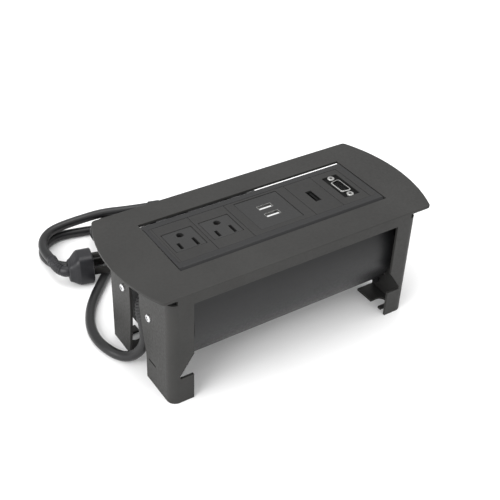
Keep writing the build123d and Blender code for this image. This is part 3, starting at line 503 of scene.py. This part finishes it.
def finish(name, colour, rough, *, metallic=0.0, shade=0.12, grain=900.0, depth=0.2, wave=0.1, specular=0.5):
    """Principled material; colour varies by shade either way and roughness across the rough range."""
    material = bpy.data.materials.new(name)
    material.use_nodes = True
    tree = material.node_tree
    shader = tree.nodes["Principled BSDF"]
    mask = tree.nodes.new("ShaderNodeGroup")
    mask.node_tree = MOTTLE
    mask.inputs["Slow Scale"].default_value = SLOW_SCALE
    mask.inputs["Fine Scale"].default_value = FINE_SCALE
    bump = tree.nodes.new("ShaderNodeGroup")
    bump.node_tree = GRAIN
    bump.inputs["Scale"].default_value = grain
    bump.inputs["Depth"].default_value = depth
    bump.inputs["Wave"].default_value = wave
    tint = tree.nodes.new("ShaderNodeMix")
    tint.data_type = "RGBA"
    tint.inputs["A"].default_value = (*[c * (1 - shade) for c in colour], 1)
    tint.inputs["B"].default_value = (*[min(c * (1 + shade), 1) for c in colour], 1)
    gloss = tree.nodes.new("ShaderNodeMapRange")
    gloss.inputs["To Min"].default_value = rough[0]
    gloss.inputs["To Max"].default_value = rough[1]
    tree.links.new(mask.outputs["Slow"], tint.inputs["Factor"])
    tree.links.new(tint.outputs["Result"], shader.inputs["Base Color"])
    tree.links.new(mask.outputs["Fine"], gloss.inputs["Value"])
    tree.links.new(gloss.outputs["Result"], shader.inputs["Roughness"])
    tree.links.new(bump.outputs["Normal"], shader.inputs["Normal"])
    shader.inputs["Metallic"].default_value = metallic
    shader.inputs["Specular IOR Level"].default_value = specular
    return material


FINISHES = {
    "frame_paint": finish("powder_coat", (0.028, 0.0276, 0.0265), (0.42, 0.56), grain=1400,
                          depth=0.35, wave=0.12,
                          specular=0.16),
    "bearing_steel": finish("black_steel", (0.010, 0.010, 0.0105), (0.45, 0.6), metallic=0.0, specular=0.1),
    "zinc_screw": finish("bright_zinc", (0.66, 0.66, 0.67), (0.22, 0.36), metallic=1.0, shade=0.08),
    "nylon": finish("dark_nylon", (0.02, 0.02, 0.02), (0.4, 0.5), specular=0.2),
    "washer_fibre": finish("fibre_washer", (0.16, 0.08, 0.05), (0.7, 0.85)),
    "drum_plastic": finish("drum_moulding", (0.011, 0.011, 0.0116), (0.34, 0.46), grain=1100, depth=0.25,
                           specular=0.30),
    "face_plastic": finish("face_moulding", (0.025, 0.0247, 0.0243), (0.44, 0.56), grain=1600, depth=0.35,
                           specular=0.16),
    "socket_plastic": finish("socket_moulding", (0.024, 0.024, 0.024), (0.38, 0.5), grain=1300, depth=0.3,
                             specular=0.2),
    "housing_plastic": finish("inner_moulding", (0.005, 0.005, 0.005), (0.5, 0.65), specular=0.1),
    "contact_brass": finish("contact_brass", (0.72, 0.52, 0.22), (0.25, 0.4), metallic=1.0),
    "port_metal": finish("port_plating", (0.42, 0.42, 0.41), (0.30, 0.45), metallic=1.0, shade=0.06),
    "tongue_light": finish("light_tongue", (0.55, 0.55, 0.55), (0.4, 0.5), shade=0.05),
    "tongue_dark": finish("dark_tongue", (0.004, 0.004, 0.004), (0.5, 0.65), specular=0.08),
    "port_black": finish("port_moulding", (0.004, 0.004, 0.004), (0.5, 0.65), specular=0.08),
    "board_green": finish("solder_mask", (0.02, 0.09, 0.04), (0.25, 0.4)),
    "lead_black": finish("lead_black", (0.012, 0.012, 0.012), (0.4, 0.5)),
    "lead_white": finish("lead_white", (0.6, 0.6, 0.58), (0.4, 0.5)),
    "lead_green": finish("lead_green", (0.02, 0.18, 0.05), (0.4, 0.5)),
    "cord_rubber": finish("cord_jacket", (0.0075, 0.0075, 0.008), (0.28, 0.42), grain=1500,
                          depth=0.3, wave=0.25,
                          specular=0.4),
    "boot_rubber": finish("boot_rubber", (0.014, 0.014, 0.0145), (0.38, 0.5), grain=1500,
                          depth=0.3, specular=0.35),
    "plug_rubber": finish("plug_rubber", (0.008, 0.008, 0.010), (0.32, 0.46), grain=1500,
                          depth=0.3, specular=0.35),
    "pin_nickel": finish("pin_plating", (0.035, 0.034, 0.033), (0.5, 0.65), metallic=1.0, shade=0.05),
    "tie_fabric": finish("strap_weave", (0.020, 0.020, 0.021), (0.8, 0.95), grain=2600, depth=1.0,
                         wave=0.4),
}
print("finishes", len(FINISHES))

# %% Put the finishes on the CAD parts and the new pieces
for row in frame["record"]["subparts"]:
    data = nodes[row["node"]].data
    data.materials.clear()
    data.materials.append(FINISHES[row["material_slot"]])
for piece in (power_flex, cord_boot, plug_body, strap):
    piece.data.materials.append(FINISHES[piece["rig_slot"]])

# %% [markdown]
# ## Table and light
# The strip lies on a plain white table under broad soft lamps: one large lamp at the left, which
# makes the left side plate the lightest face, one above, and a low one in front that, with the
# table's own bounce, lifts the underside of the drum.

# %% Table
TABLE_SIZE = 6.0
table = grid_mesh("table", [np.array([[[-1, -1, -0.02], [1, -1, -0.02], [1, 1, -0.02], [-1, 1, -0.02]],
                                      [[-1, -1, 0], [1, -1, 0], [1, 1, 0], [-1, 1, 0]]])
                            * np.array([TABLE_SIZE / 2, TABLE_SIZE / 2, 1.0])], smooth=False)
table.data.materials.append(finish("white_table", (0.86, 0.86, 0.86), (0.6, 0.7), shade=0.01, wave=0.0))
print("table", TABLE_SIZE, "m")

# %% Lamps and surroundings
SKY_STRENGTH = 0.9
LAMPS = {
    "left_lamp": ((-1.2, -0.25, 0.75), 1.1, 19.0),
    "top_lamp": ((0.1, 0.25, 1.5), 1.2, 13.0),
    "front_lamp": ((0.2, -1.5, 0.7), 1.0, 7.0),
}


def aim(place, target=(0.0, 0.0, 0.05)):
    """Rotation that points a lamp's -Z axis from its place at the target."""
    back = np.array(place) - np.array(target)
    back /= np.linalg.norm(back)
    right = np.cross((0.0, 1.0, 0.0) if abs(back[1]) < 0.9 else (1.0, 0.0, 0.0), back)
    right /= np.linalg.norm(right)
    matrix = np.eye(4)
    matrix[:3, 0], matrix[:3, 1], matrix[:3, 2], matrix[:3, 3] = right, np.cross(back, right), back, place
    return matrix


for name, (place, size, power) in LAMPS.items():
    lamp = bpy.data.lights.new(name, "AREA")
    lamp.size = size
    lamp.energy = power
    holder = bpy.data.objects.new(name, lamp)
    bpy.context.scene.collection.objects.link(holder)
    holder.matrix_world = aim(place).T

world = bpy.data.worlds.new("surroundings")
world.use_nodes = True
world.node_tree.nodes["Background"].inputs["Color"].default_value = (1.0, 1.0, 1.0, 1)
world.node_tree.nodes["Background"].inputs["Strength"].default_value = SKY_STRENGTH
bpy.context.scene.world = world
bpy.context.scene.view_settings.view_transform = "Standard"
print("lamps", len(LAMPS))

# %% End
print("scene built")
